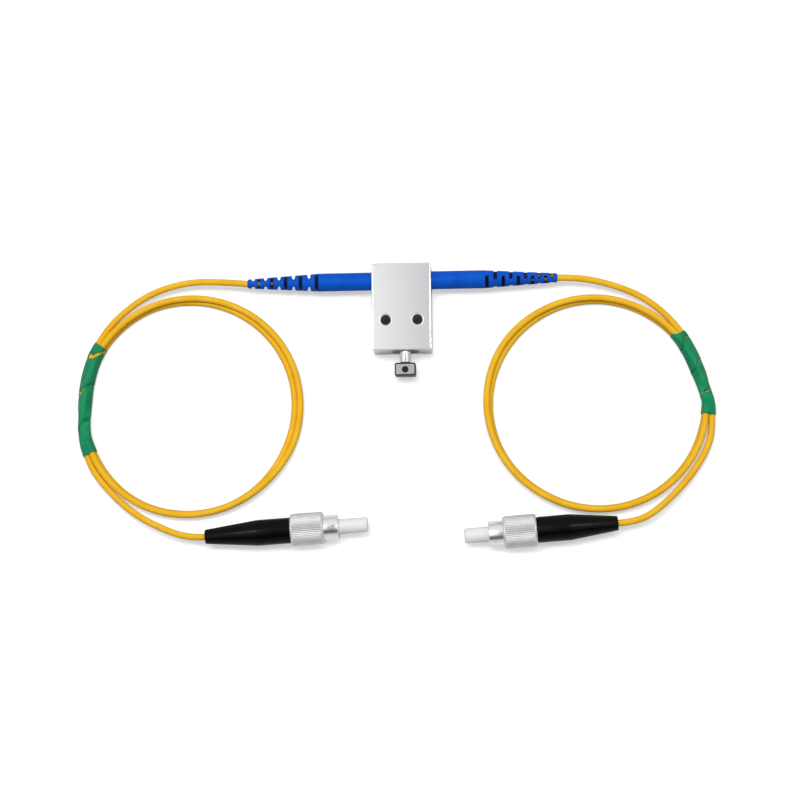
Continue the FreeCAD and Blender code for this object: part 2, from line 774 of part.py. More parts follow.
# Tape wound round the passes of cable, skinned in flats from one outline to the next.
def make_tape(side):
    outlines = [tape_outline(side, station / (tape_stations - 1)) for station in range(tape_stations)]
    rings = [outlines[0], outlines[-1]]
    for before, after in zip(outlines, outlines[1:]):
        for near, far in zip(zip(before, before[1:]), zip(after, after[1:])):
            rings.append((near[0], near[1], far[1], near[0]))
            rings.append((near[0], far[1], far[0], near[0]))
    shell = Part.makeShell([Part.Face(Part.makePolygon(ring)) for ring in rings])
    shell.sewShape()
    feature = doc.addObject("Part::Feature", "coil_tape_" + side)
    feature.Label = "coil_tape_" + side
    feature.Shape = Part.makeSolid(shell)
    return feature


# Coiled part of one cable as a plain bar that meets the tape at both ends.
def make_coil(side):
    name = "cable_coil_" + side
    inner = "coil_%s_radius - coil_width / 2" % side
    outer = "coil_%s_radius + coil_width / 2" % side
    body = new_body(name)
    sketch = new_sketch(body, name + "_section", "XZ_Plane")
    add_outline(sketch, ((inner, "0"), (outer, "0"), (outer, "coil_height"), (inner, "coil_height")))
    turn = body.newObject("PartDesign::Revolution", name + "_turn")
    turn.Profile = sketch
    turn.ReferenceAxis = (sketch, ["V_Axis"])
    span = "360 - tape_%s_span" % side
    turn.Angle = value(span)
    turn.setExpression("Angle", linked(span))
    finish_feature(body, turn)
    start = "tape_%s_start + tape_%s_span" % (side, side)
    place(body, "coil_%s_x" % side, "coil_%s_y" % side, "0", turn=start)
    return [body, make_tape(side)]


# A sheath's round section as a ring of flats.
def flat_sided(middle, along, radius):
    spin = FreeCAD.Rotation(FreeCAD.Vector(0, 0, 1), along)
    corners = []
    for index in range(sheath_flats + 1):
        angle = 2 * math.pi * index / sheath_flats
        corners.append(middle + spin.multVec(FreeCAD.Vector(math.cos(angle), math.sin(angle), 0)) * radius)
    return Part.makePolygon(corners)


# Straight runs joined by tangent arcs, each taking most of half the shorter run beside it.
def tube(name, points, radius):
    edges = []
    radii = []
    start = points[0]
    for before, corner, after in zip(points, points[1:], points[2:]):
        back = before - corner
        ahead = after - corner
        reach = 0.45 * min(back.Length, ahead.Length)
        back.normalize()
        ahead.normalize()
        half = back.getAngle(ahead) / 2
        bend = reach * math.tan(half)
        middle = back + ahead
        middle.normalize()
        nearest = corner + middle * (bend / math.sin(half) - bend)
        edges.append(Part.LineSegment(start, corner + back * reach).toShape())
        edges.append(Part.Arc(corner + back * reach, nearest, corner + ahead * reach).toShape())
        start = corner + ahead * reach
        radii.append(round(bend, 1))
    edges.append(Part.LineSegment(start, points[-1]).toShape())
    path = Part.Wire(edges)
    section = flat_sided(points[0], points[1] - points[0], radius)
    solid = path.makePipeShell([section], True, False)
    share = solid.Volume / (Part.Face(section).Area * path.Length)
    print(name, "length", round(path.Length, 1), "bend radii", radii, "volume share", round(share, 4))
    feature = doc.addObject("Part::Feature", name)
    feature.Label = name
    feature.Shape = solid
    return feature


# Loose stretches of cable, from the strain relief to the tape and from the tape to the plug.
# The first and last point of each follow the pieces they meet, the rest are chosen by eye.
LEAD_WAY = {
    "left": ((-57.0, 8.6, 5.0), (-69.0, 8.9, 4.3), (-80.3, 5.0, 3.1)),
    "right": ((53.5, 8.6, 5.0), (63.0, 6.6, 4.2), (71.8, 3.3, 3.0)),
}
TAIL_WAY = {
    "left": ((-83.5, -60.6, 2.6), (-72.5, -66.4, 4.3)),
    "right": ((85.3, -53.2, 2.4), (75.8, -62.3, 4.6)),
}
TAPE_RUN = {"left": 8.0, "right": 9.0}
PLUG_RUN = {"left": 4.3, "right": 5.7}


# Point on the outer side of the coil at an angle, and the direction of rising angle there.
def beside_coil(side, angle):
    turn = math.radians(angle)
    outward = FreeCAD.Vector(math.cos(turn), math.sin(turn), 0)
    along = FreeCAD.Vector(-math.sin(turn), math.cos(turn), 0)
    middle = FreeCAD.Vector(value("coil_%s_x" % side), value("coil_%s_y" % side), value("coil_height / 2"))
    reach = "coil_%s_radius + coil_width / 2 + run_gap + cable_diameter / 2" % side
    return middle + outward * value(reach), along


def make_loose_cable(side):
    radius = value("cable_diameter / 2")
    sense = 1 if side == "left" else -1
    first, last = tape_ends(side)
    outwards = -1 if side == "left" else 1
    tip = FreeCAD.Vector(
        outwards * value("housing_width / 2 + relief_length"), value(beam_y), value("axis_height"))
    entry, along = beside_coil(side, first)
    lead = [tip]
    lead.extend(FreeCAD.Vector(*point) for point in LEAD_WAY[side])
    lead[1].y = tip.y
    lead[1].z = tip.z
    lead.append(entry - along * sense * TAPE_RUN[side])
    lead.append(entry)
    leave, along = beside_coil(side, last)
    yaw = math.radians(value("plug_%s_yaw" % side))
    axis = FreeCAD.Vector(math.cos(yaw), math.sin(yaw), 0)
    nut = FreeCAD.Vector(value("plug_%s_x" % side), value("plug_%s_y" % side), value(plug_z))
    socket = nut - axis * value("plug_boot_%s_length" % side)
    tail = [leave, leave + along * sense * TAPE_RUN[side]]
    tail.extend(FreeCAD.Vector(*point) for point in TAIL_WAY[side])
    tail.append(socket - axis * PLUG_RUN[side])
    tail.append(socket)
    return [tube("cable_lead_" + side, lead, radius), tube("cable_tail_" + side, tail, radius)]


parts = make_housing() + make_adjuster()
for side in ("left", "right"):
    parts += make_side(side) + make_coil(side) + make_loose_cable(side) + make_plug(side)
doc.recompute()

for item in doc.Objects:
    if "Invalid" in item.State or "Error" in item.State:
        raise RuntimeError("%s did not build: %s" % (item.Label, item.State))
for part in parts:
    shape = part.Shape
    if shape.isNull() or not shape.isValid() or len(shape.Solids) != 1:
        raise RuntimeError("%s is not one sound solid" % part.Label)
    shape.exportStep("parts/%s.step" % part.Label)
print("exported", len(parts), "parts")
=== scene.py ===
import json
import math
import bmesh
import bpy
from mathutils import Matrix, Vector


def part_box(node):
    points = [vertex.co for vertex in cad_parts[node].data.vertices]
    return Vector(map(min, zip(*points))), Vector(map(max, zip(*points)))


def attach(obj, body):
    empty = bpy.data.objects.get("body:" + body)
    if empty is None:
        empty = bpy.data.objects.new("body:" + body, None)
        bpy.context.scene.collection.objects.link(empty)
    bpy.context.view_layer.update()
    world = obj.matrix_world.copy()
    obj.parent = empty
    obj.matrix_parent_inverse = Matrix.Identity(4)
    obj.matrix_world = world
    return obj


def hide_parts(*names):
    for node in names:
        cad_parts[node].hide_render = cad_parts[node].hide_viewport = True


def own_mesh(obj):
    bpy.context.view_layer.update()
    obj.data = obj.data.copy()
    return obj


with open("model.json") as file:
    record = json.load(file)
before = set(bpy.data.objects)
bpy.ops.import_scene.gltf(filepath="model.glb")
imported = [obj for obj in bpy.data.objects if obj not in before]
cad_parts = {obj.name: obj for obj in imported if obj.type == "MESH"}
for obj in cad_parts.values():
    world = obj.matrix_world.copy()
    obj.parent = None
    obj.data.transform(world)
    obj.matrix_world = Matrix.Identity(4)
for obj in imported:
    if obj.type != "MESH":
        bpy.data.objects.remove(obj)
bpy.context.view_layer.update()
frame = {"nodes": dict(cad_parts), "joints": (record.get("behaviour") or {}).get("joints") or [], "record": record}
mm = 0.001
sameSpot = 0.000001  # points nearer than this count as one place
mergeWithin = 2 * sameSpot
scene = bpy.context.scene
scene.view_settings.view_transform = "Standard"
print("frame loaded:", len(frame["nodes"]), "nodes")

# camera, where the photograph was taken from
tableView = {
    "place": (0.030, -0.103, 0.589),
    "aim": (-0.00124, -0.02733, 0.0),
    "pictureUp": (0.0105, 1.0, 0.0),
    "lens": 87.75,
    "sensor": 36.0,
    "nearest": 0.01,
}


def setCamera(view):
    lens = bpy.data.cameras.new("tableCamera")
    lens.lens = view["lens"]
    lens.sensor_width = view["sensor"]
    lens.clip_start = view["nearest"]
    place = Vector(view["place"])
    ahead = (Vector(view["aim"]) - place).normalized()
    right = ahead.cross(Vector(view["pictureUp"])).normalized()
    turn = Matrix((right, right.cross(ahead), -ahead)).transposed()
    rig = bpy.data.objects.new("tableCamera", lens)
    rig.matrix_world = Matrix.Translation(place) @ turn.to_4x4()
    scene.collection.objects.link(rig)
    scene.camera = rig


setCamera(tableView)


def linear(red, green, blue):
    # a colour as it is seen on screen, 0 to 255, made linear for the shader
    shown = [c / 255 for c in (red, green, blue)]
    return tuple(((c + 0.055) / 1.055) ** 2.4 if c > 0.04 else c / 12.92 for c in shown) + (1.0,)


def grey(level):
    return linear(level, level, level)


# node steps that the finishes and the studio share
def feed(tree, socket, value):
    # links a socket to another one, or sets its number or colour
    if isinstance(value, bpy.types.NodeSocket):
        tree.links.new(value, socket)
    else:
        socket.default_value = value


def ramped(tree, source, band, kind="SMOOTHSTEP"):
    # 0 below the band, 1 above it, smooth or straight between
    step = tree.nodes.new("ShaderNodeMapRange")
    step.interpolation_type = kind
    step.inputs["From Min"].default_value = band[0]
    step.inputs["From Max"].default_value = band[1]
    tree.links.new(source, step.inputs["Value"])
    return step.outputs["Result"]


def mixed(tree, share, low, high, kind="FLOAT"):
    # low where share is 0, high where it is 1; each a number, a colour or a socket
    mix = tree.nodes.new("ShaderNodeMix")
    mix.data_type = kind
    tree.links.new(share, mix.inputs["Factor"])
    feed(tree, mix.inputs["A"], low)
    feed(tree, mix.inputs["B"], high)
    return mix.outputs["Result"]


def reckoned(tree, operation, *terms):
    # one step of arithmetic on one or two terms, each a number or a socket
    node = tree.nodes.new("ShaderNodeMath")
    node.operation = operation
    for socket, term in zip(node.inputs, terms):
        feed(tree, socket, term)
    return node.outputs["Value"]


def spotOn(tree, kind):
    return tree.nodes.new("ShaderNodeTexCoord").outputs[kind]


def splitUp(tree, spot):
    split = tree.nodes.new("ShaderNodeSeparateXYZ")
    tree.links.new(spot, split.inputs["Vector"])
    return split.outputs


# shader groups that several finishes share
drift = {
    "tintDetail": 4.0,
    "tintBand": (0.35, 0.65),
    "glossDetail": 6.0,
    "glossBand": (0.3, 0.7),
    "grainDetail": 3.0,
}


def newGroup(name, inputs, outputs):
    group = bpy.data.node_groups.new(name, "ShaderNodeTree")
    for label, kind, value in inputs:
        socket = group.interface.new_socket(name=label, in_out="INPUT", socket_type=kind)
        socket.default_value = value
    for label, kind in outputs:
        group.interface.new_socket(name=label, in_out="OUTPUT", socket_type=kind)
    entry = group.nodes.new("NodeGroupInput")
    leave = group.nodes.new("NodeGroupOutput")
    return group, entry.outputs, leave.inputs


def addNoise(tree, scale, detail):
    # noise on Object coordinates, which are metres here
    noise = tree.nodes.new("ShaderNodeTexNoise")
    noise.inputs["Detail"].default_value = detail
    tree.links.new(scale, noise.inputs["Scale"])
    tree.links.new(spotOn(tree, "Object"), noise.inputs["Vector"])
    return noise.outputs["Fac"]


def makeTint():
    # two colours that drift into each other over the surface
    group, entry, leave = newGroup(
        "tintDrift",
        [("Dark", "NodeSocketColor", grey(120)), ("Light", "NodeSocketColor", grey(230)),
         ("Scale", "NodeSocketFloat", 300.0)],
        [("Color", "NodeSocketColor")])
    noise = addNoise(group, entry["Scale"], drift["tintDetail"])
    share = ramped(group, noise, drift["tintBand"], "LINEAR")
    group.links.new(mixed(group, share, entry["Dark"], entry["Light"], "RGBA"), leave["Color"])
    return group


def makeGloss():
    # roughness that wanders between two values, as handling leaves it
    group, entry, leave = newGroup(
        "glossDrift",
        [("Least", "NodeSocketFloat", 0.3), ("Most", "NodeSocketFloat", 0.4),
         ("Scale", "NodeSocketFloat", 400.0)],
        [("Roughness", "NodeSocketFloat")])
    noise = addNoise(group, entry["Scale"], drift["glossDetail"])
    share = ramped(group, noise, drift["glossBand"], "LINEAR")
    group.links.new(mixed(group, share, entry["Least"], entry["Most"]), leave["Roughness"])
    return group


def makeGrain():
    # fine surface texture as a height
    group, entry, leave = newGroup(
        "fineGrain", [("Scale", "NodeSocketFloat", 6000.0)], [("Height", "NodeSocketFloat")])
    group.links.new(addNoise(group, entry["Scale"], drift["grainDetail"]), leave["Height"])
    return group


tintDrift = makeTint()
glossDrift = makeGloss()
fineGrain = makeGrain()


def placeGroup(tree, group, **values):
    # one of the shared groups in a material, with its own values
    node = tree.nodes.new("ShaderNodeGroup")
    node.node_tree = group
    for label, value in values.items():
        node.inputs[label].default_value = value
    return node.outputs[0]


def finish(name, dark, light, tintScale, gloss, glossScale, grain, metallic=0.0, **sockets):
    # a material from the three groups; gloss is (least, most) roughness, grain is (scale, height in metres)
    material = bpy.data.materials.new(name)
    material.use_nodes = True
    tree = material.node_tree
    shader = tree.nodes["Principled BSDF"]
    shader.inputs["Metallic"].default_value = metallic
    for label, value in sockets.items():
        shader.inputs[label.replace("_", " ")].default_value = value
    tint = placeGroup(tree, tintDrift, Dark=dark, Light=light, Scale=tintScale)
    roughness = placeGroup(tree, glossDrift, Least=gloss[0], Most=gloss[1], Scale=glossScale)
    height = placeGroup(tree, fineGrain, Scale=grain[0])
    bump = tree.nodes.new("ShaderNodeBump")
    bump.inputs["Strength"].default_value = 1.0
    bump.inputs["Distance"].default_value = grain[1]
    tree.links.new(tint, shader.inputs["Base Color"])
    tree.links.new(roughness, shader.inputs["Roughness"])
    tree.links.new(height, bump.inputs["Height"])
    tree.links.new(bump.outputs["Normal"], shader.inputs["Normal"])
    return material


anodised = finish("anodisedSilver", dark=linear(231, 231, 234), light=linear(236, 236, 238), tintScale=2600,
                  gloss=(0.13, 0.17), glossScale=900, grain=(9000, 0.000003), metallic=1.0)
# the bush is painted dark grey rather than brass, as painted shade and painted reflection round the shaft on the
# housing's front
bushPaintedShade = finish("bushPaintedShade", dark=linear(84, 82, 80), light=linear(112, 109, 105), tintScale=500,
                   gloss=(0.3, 0.45), glossScale=900, grain=(5000, 0.000005), metallic=1.0)
polishedSteel = finish("polishedSteel", dark=grey(212), light=grey(226), tintScale=500,
                       gloss=(0.07, 0.12), glossScale=900, grain=(5000, 0.000002), metallic=1.0)
springWire = finish("springWire", dark=grey(170), light=grey(190), tintScale=500,
                    gloss=(0.25, 0.35), glossScale=900, grain=(5000, 0.000003), metallic=1.0)
knobGrey = finish("knobGrey", dark=linear(144, 145, 144), light=linear(158, 159, 157), tintScale=1500,
                  gloss=(0.34, 0.42), glossScale=900, grain=(7000, 0.000006), metallic=0.9)
blackSteel = finish("blackSteel", dark=grey(16), light=grey(30), tintScale=600,
                    gloss=(0.4, 0.55), glossScale=900, grain=(6000, 0.000006), metallic=0.6)
gilt = finish("gilt", dark=linear(212, 172, 90), light=linear(232, 192, 110), tintScale=600,
              gloss=(0.15, 0.25), glossScale=900, grain=(5000, 0.000003), metallic=1.0)
lensGlass = finish("lensGlass", dark=grey(245), light=grey(250), tintScale=600,
                   gloss=(0.0, 0.02), glossScale=900, grain=(3000, 0.0000005),
                   Transmission_Weight=1.0, IOR=1.5)
bufferWhite = finish("bufferWhite", dark=grey(232), light=grey(242), tintScale=600,
                     gloss=(0.35, 0.45), glossScale=900, grain=(4000, 0.000004))
nickel = finish("nickelPlate", dark=linear(212, 212, 211), light=linear(222, 222, 221), tintScale=420,
                gloss=(0.50, 0.58), glossScale=1200, grain=(7000, 0.000001), metallic=1.0)
satinMetal = finish("satinMetal", dark=grey(170), light=grey(190), tintScale=420,
                    gloss=(0.3, 0.4), glossScale=900, grain=(6000, 0.000004), metallic=1.0)
reliefBlue = finish("reliefBlue", dark=linear(5, 78, 188), light=linear(9, 88, 201), tintScale=260,
                    gloss=(0.42, 0.52), glossScale=800, grain=(5200, 0.000008), Specular_IOR_Level=0.10)
sheathYellow = finish("sheathYellow", dark=linear(234, 179, 35), light=linear(241, 188, 49), tintScale=180,
                      gloss=(0.38, 0.5), glossScale=700, grain=(4200, 0.000006), Specular_IOR_Level=0.07)
tapeGreen = finish("tapeGreen", dark=linear(20, 130, 82), light=linear(32, 146, 100), tintScale=320,
                   gloss=(0.3, 0.42), glossScale=500, grain=(1500, 0.00002), Specular_IOR_Level=0.08)
bootBlack = finish("bootBlack", dark=grey(2), light=grey(4), tintScale=300,
                   gloss=(0.24, 0.32), glossScale=700, grain=(5200, 0.000004), Specular_IOR_Level=0.10)
chrome = finish("barrelChrome", dark=grey(236), light=grey(243), tintScale=500,
                gloss=(0.20, 0.26), glossScale=900, grain=(3000, 0.0000006), metallic=1.0)
ceramic = finish("ferruleCeramic", dark=linear(246, 246, 243), light=linear(252, 252, 250), tintScale=500,
                 gloss=(0.1, 0.18), glossScale=900, grain=(4000, 0.000002))
capClear = finish("capClear", dark=linear(251, 252, 252), light=linear(254, 254, 254), tintScale=300,
                  gloss=(0.16, 0.24), glossScale=700, grain=(1200, 0.0000015),
                  Transmission_Weight=0.30, IOR=1.30)


def marked(material, mark):
    # one of the piece's own attributes, 0 to 1
    node = material.node_tree.nodes.new("ShaderNodeAttribute")
    node.attribute_name = mark
    return node.outputs["Fac"]


# painted shade on the length of cable inside the strain reliefs: so near the housing's middle, and so far back
paintedCableShade = {"reach": 46.2, "reachBlend": 0.5, "back": 4.0, "backBlend": 1.0}


# share of painted shade on the cable: 1 inside the strain reliefs
def paintedShadeInRelief(material):
    tree = material.node_tree
    spot = splitUp(tree, spotOn(tree, "Object"))
    aside = reckoned(tree, "ABSOLUTE", spot["X"])
    reach, back = paintedCableShade["reach"], paintedCableShade["back"]
    beyond = ramped(tree, aside, ((reach - paintedCableShade["reachBlend"]) * mm, reach * mm))
    behind = ramped(tree, spot["Y"], ((back - paintedCableShade["backBlend"]) * mm, back * mm))
    return mixed(tree, behind, 0.0, mixed(tree, beyond, 1.0, 0.0))


def blendOver(material, label, share, value):
    # what feeds one of the shader's sockets goes over to another value where share is 1
    tree = material.node_tree
    socket = tree.nodes["Principled BSDF"].inputs[label]
    kind = "RGBA" if socket.type == "RGBA" else "FLOAT"
    tree.links.new(mixed(tree, share, socket.links[0].from_socket, value, kind), socket)


# painted shade: the reliefs' slots are painted near-black blue where they lie deep, for the shade inside them
blendOver(reliefBlue, "Base Color", marked(reliefBlue, "recess"), linear(2, 8, 30))
# painted shade: the knob's sides and edges are painted dark grey
blendOver(knobGrey, "Base Color", marked(knobGrey, "flankShade"), linear(74, 75, 76))
# painted shade: the walls of the housing's two holes are painted dark grey
blendOver(anodised, "Base Color", marked(anodised, "bore"), grey(52))
blendOver(anodised, "Roughness", marked(anodised, "mouth"), 0.50)
# painted shade: the cable's yellow is painted darker inside the strain reliefs
blendOver(sheathYellow, "Base Color", paintedShadeInRelief(sheathYellow), linear(150, 112, 22))

slotFinish = {
    "housing_aluminium": anodised,
    "bush_brass": bushPaintedShade,
    "screw_steel": polishedSteel,
    "knob_grey": knobGrey,
    "grub_black": blackSteel,
    "pin_black": blackSteel,
    "spring_steel": springWire,
    "collimator_gold": gilt,
    "lens_glass": lensGlass,
    "fibre_white": bufferWhite,
    "post_nickel": nickel,
    "sleeve_metal": satinMetal,
    "relief_blue": reliefBlue,
    "cable_yellow": sheathYellow,
    "tape_green": tapeGreen,
    "boot_black": bootBlack,
    "nut_nickel": nickel,
    "barrel_chrome": chrome,
    "ferrule_ceramic": ceramic,
    "cap_clear": capClear,
}
nodeSlot = {part["node"]: part["material_slot"] for part in frame["record"]["subparts"]}
for name, node in frame["nodes"].items():
    node.data.materials.clear()
    node.data.materials.append(slotFinish[nodeSlot[name]])
print("finishes made:", len(slotFinish))


# common steps for every new piece
def placePiece(piece, body, nodes):
    scene.collection.objects.link(piece)
    piece.data.materials.append(slotFinish[nodeSlot[nodes[0]]])
    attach(piece, body)
    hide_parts(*nodes)
    return piece


def meshPiece(name, bm, body, nodes, crease=40.0):
    # the finished mesh, smooth where its faces meet at less than crease degrees
    bmesh.ops.remove_doubles(bm, verts=bm.verts, dist=mergeWithin)
    bmesh.ops.recalc_face_normals(bm, faces=bm.faces)
    mesh = bpy.data.meshes.new(name)
    bm.to_mesh(mesh)
    bm.free()
    mesh.shade_smooth()
    mesh.set_sharp_from_angle(angle=math.radians(crease))
    return placePiece(bpy.data.objects.new(name, mesh), body, nodes)


def cadCopy(node):
    bm = bmesh.new()
    bm.from_mesh(frame["nodes"][node].data)
    bmesh.ops.remove_doubles(bm, verts=bm.verts, dist=mergeWithin)
    return bm


def turnedShape(outline, soft, closed=False, rounded=None, segments=3, steps=72):
    # a lathe outline of (along, radius) in mm, spun about X; rounded lists its soft corners, if not all are
    bm = bmesh.new()
    corners = [bm.verts.new((x * mm, 0, r * mm)) for x, r in outline]
    pairs = list(zip(corners, corners[1:]))
    if closed:
        pairs.append((corners[-1], corners[0]))
    for a, b in pairs:
        bm.edges.new((a, b))
    softened = [corners[k] for k in rounded or range(len(corners)) if len(corners[k].link_edges) == 2]
    bmesh.ops.bevel(bm, geom=softened, offset=soft * mm, segments=segments, profile=0.5, affect="VERTICES",
                    material=-1)
    bmesh.ops.spin(bm, geom=bm.verts[:] + bm.edges[:], cent=(0, 0, 0), axis=(1, 0, 0), angle=2 * math.pi,
                   steps=steps, use_merge=True)
    return bm


def ringStack(stations, steps, radiusAt):
    # rings along X, each pulled to radiusAt(x, turn), skinned ring by ring and closed at both ends
    def pull(v, x, turn):
        reach = radiusAt(x, turn)
        v.co = (x, reach * math.cos(turn), reach * math.sin(turn))

    bm = bmesh.new()
    ring = bmesh.ops.create_circle(bm, segments=steps, radius=1.0, cap_ends=True)["verts"]
    for v in ring:
        pull(v, stations[0], math.atan2(v.co.y, v.co.x))
    edges = bm.edges[:]
    for x in stations[1:]:
        grown = bmesh.ops.extrude_edge_only(bm, edges=edges)["geom"]
        for v in (g for g in grown if isinstance(g, bmesh.types.BMVert)):
            pull(v, x, math.atan2(v.co.z, v.co.y))
        edges = [g for g in grown if isinstance(g, bmesh.types.BMEdge)]
    bmesh.ops.contextual_create(bm, geom=edges)
    return bm


# housing block, its top rims rounder than in CAD, its hole mouths flatter and its drilled holes painted dark as
# painted shade
block = {
    "holes": ((-4.8, -4.2), (4.8, -4.2)),
    "holeRadius": 1.6,
    "boreSlack": 0.02,
    "mouthRadius": 2.0,
    "mouthDepth": 0.16,
    "mouthFrom": 0.05,  # share of the mouth's width that stays at the top's height
    "mouthSlope": (0.2, 0.998),  # a mouth's faces look up by this much
    "soften": 0.14,
    "rimTurn": 0.01,  # least change of the faces' upward look at a rim
    "sharpFront": 0.5,  # the front edge, this deep, stays as it is
    "flatWithin": 0.5,  # degrees
    "crease": 10.0,
}


def makeHousing():
    bm = cadCopy("housing")
    flat = math.radians(block["flatWithin"])
    bmesh.ops.dissolve_limit(bm, angle_limit=flat, verts=bm.verts, edges=bm.edges)
    top = max(v.co.z for v in bm.verts)
    front = min(v.co.y for v in bm.verts)

    def fromHole(spot):
        # distance to the nearer hole's axis, in mm
        return min(math.hypot(spot.x / mm - x, spot.y / mm - y) for x, y in block["holes"])

    def onBore(v):
        return abs(fromHole(v.co) - block["holeRadius"]) < block["boreSlack"]

    def onTop(e):
        return all(abs(v.co.z - top) < sameSpot for v in e.verts)

    def isRim(e):
        # where the top turns down, apart from the front edge and the hole mouths
        behind = max(v.co.y for v in e.verts) > front + block["sharpFront"] * mm
        clear = fromHole(e.verts[0].co) > 2 * block["mouthRadius"]
        turn = abs(e.link_faces[0].normal.z - e.link_faces[1].normal.z)
        return behind and clear and turn > block["rimTurn"]

    # painted shade: the hole walls are marked here to be painted dark
    bore = bm.faces.layers.float.new("bore")
    for f in bm.faces:
        f[bore] = 1.0 if all(onBore(v) for v in f.verts) else 0.0
    for v in bm.verts:
        inward = (block["mouthRadius"] - fromHole(v.co)) / (block["mouthRadius"] - block["holeRadius"])
        if inward > block["mouthFrom"] and v.co.z > top / 2:
            v.co.z = top - inward * block["mouthDepth"] * mm
    bm.normal_update()
    rims = [e for e in bm.edges if onTop(e) and isRim(e)]
    bmesh.ops.bevel(bm, geom=rims, offset=block["soften"] * mm, segments=2, profile=0.5, affect="EDGES",
                    material=-1)
    mouth = bm.faces.layers.float.new("mouth")
    least, most = block["mouthSlope"]
    for f in bm.faces:
        f.normal_update()
        near = fromHole(f.calc_center_median()) < block["mouthRadius"]
        f[mouth] = 1.0 if near and least < f.normal.z < most else 0.0
    meshPiece("housing_shown", bm, "base", ["housing"], block["crease"])


makeHousing()
print("housing made")

# the two cables, from the strain relief round the coil to the plug, all in mm; loop holds the angle, middle
# radius and spread of the two turns about the coil's centre, and tape the angles where it starts and stops
cableSize = {"diameter": 2.0, "pointsPerTurn": 24, "turns": 2, "stepsPerPoint": 8, "roundness": 5}
cables = {
    "left": {
        "lead": [(-47.3, 8.6, 5.0), (-56.0, 9.5, 5.0), (-66.5, 9.6, 4.4), (-78.2, 6.4, 3.2),
                 (-88.4, -0.9, 2.2)],
        "centre": (-65.4, -28.6),
        "tape": (145.0, 204.5),
        "loop": [(0, 32.95, 1.75), (30, 33.0, 1.7), (60, 32.95, 1.4), (90, 33.05, 0.9), (115, 33.1, 0.45),
                 (140, 32.85, 0.45), (175, 32.65, 0.45), (210, 32.9, 0.45), (240, 33.2, 0.3),
                 (270, 32.8, 0.4), (300, 32.7, 0.35), (320, 32.6, 1.15), (340, 32.85, 1.85),
                 (360, 32.95, 1.75)],
        "tail": [(-93.6, -50.4, 2.1), (-83.5, -60.6, 2.6), (-72.5, -66.4, 4.3), (-64.44, -68.8, 4.9),
                 (-60.15, -68.53, 4.9)],
    },
    "right": {
        "lead": [(47.3, 8.6, 5.0), (53.5, 8.6, 5.0), (63.0, 6.6, 4.2), (71.8, 3.3, 3.0),
                 (78.41, -1.4, 2.3)],
        "centre": (58.5, -29.7),
        "tape": (42.0, -6.5),
        "loop": [(0, 32.6, 0.6), (30, 31.75, 0.6), (57, 31.55, 0.5), (87, 32.0, 0.65), (117, 32.4, 1.0),
                 (149, 33.0, 1.5), (180, 32.9, 0.9), (211, 32.5, 0.5), (241, 31.75, 0.55), (270, 31.8, 0.3),
                 (300, 32.1, 0.3), (330, 32.5, 0.5), (360, 32.6, 0.6)],
        "tail": [(92.1, -42.7, 2.1), (85.3, -53.2, 2.4), (75.8, -62.3, 4.6), (69.43, -65.71, 4.9),
                 (63.74, -66.11, 4.9)],
    },
}
# how the three passes lie in the tape, at its start, middle and end: (out from the loop's middle, height)
tapedPasses = [
    [(1.9, 1.7), (1.0, 1.0), (-0.1, 1.0)],
    [(-0.2, 1.0), (-1.0, 1.05), (0.1, 2.95)],
    [(0.1, 2.95), (0.0, 2.75), (1.9, 1.8)],
]


def between(low, high, share):
    return low + (high - low) * share


def aroundCoil(cable, angle, radius, height):
    return (cable["centre"][0] + radius * math.cos(math.radians(angle)),
            cable["centre"][1] + radius * math.sin(math.radians(angle)), height)


def loopAt(loop, angle):
    # middle radius and spread of the two turns at an angle
    angle = angle % 360.0
    for (a0, r0, s0), (a1, r1, s1) in zip(loop, loop[1:]):
        if a0 <= angle <= a1:
            share = (angle - a0) / (a1 - a0)
            return between(r0, r1, share), between(s0, s1, share)


def tapedSpot(loop, angle, passNumber, share):
    # a strand inside the tape, share 0 to 1 along it
    spots = tapedPasses[passNumber]
    half = 0 if share < 0.5 else 1
    local = share * 2 - half
    local = local * local * (3 - 2 * local)
    out = between(spots[half][0], spots[half + 1][0], local)
    height = between(spots[half][1], spots[half + 1][1], local)
    return loopAt(loop, angle)[0] + out, height


def strandAt(cable, travelled):
    # angle, radius and height of the strand after so many degrees from the tape's start
    start, stop = cable["tape"]
    way = 1 if stop > start else -1
    span = abs(stop - start)
    angle = start + way * travelled
    turn, into = divmod(travelled, 360.0)
    if into <= span:
        radius, height = tapedSpot(cable["loop"], angle, int(turn), into / span)
        return angle, radius, height
    middle, spread = loopAt(cable["loop"], angle)
    rise = math.sqrt(max(0.0, cableSize["diameter"] ** 2 - spread ** 2))
    if turn < 1:
        return angle, middle - spread / 2, cableSize["diameter"] / 2
    return angle, middle + spread / 2, cableSize["diameter"] / 2 + rise


def coilPoints(cable):
    # control points on the turns, a little outside them because the spline cuts inside its points
    step = 360.0 / cableSize["pointsPerTurn"]
    start, stop = cable["tape"]
    whole = 360.0 * cableSize["turns"] + abs(stop - start)
    count = round(whole / step)
    outward = 1 / math.cos(math.radians(step / 2))
    points = []
    for k in range(count + 1):
        angle, radius, height = strandAt(cable, whole * k / count)
        points.append(aroundCoil(cable, angle, radius * outward, height))
    return points


def splineLength(curve):
    # length of the bare spline, before it gets its thickness
    ghost = bpy.data.objects.new("ghost", curve)
    line = bpy.data.meshes.new_from_object(ghost)
    ends = [[line.vertices[k].co for k in e.vertices] for e in line.edges]
    total = sum((a - b).length for a, b in ends)
    bpy.data.objects.remove(ghost)
    bpy.data.meshes.remove(line)
    return total


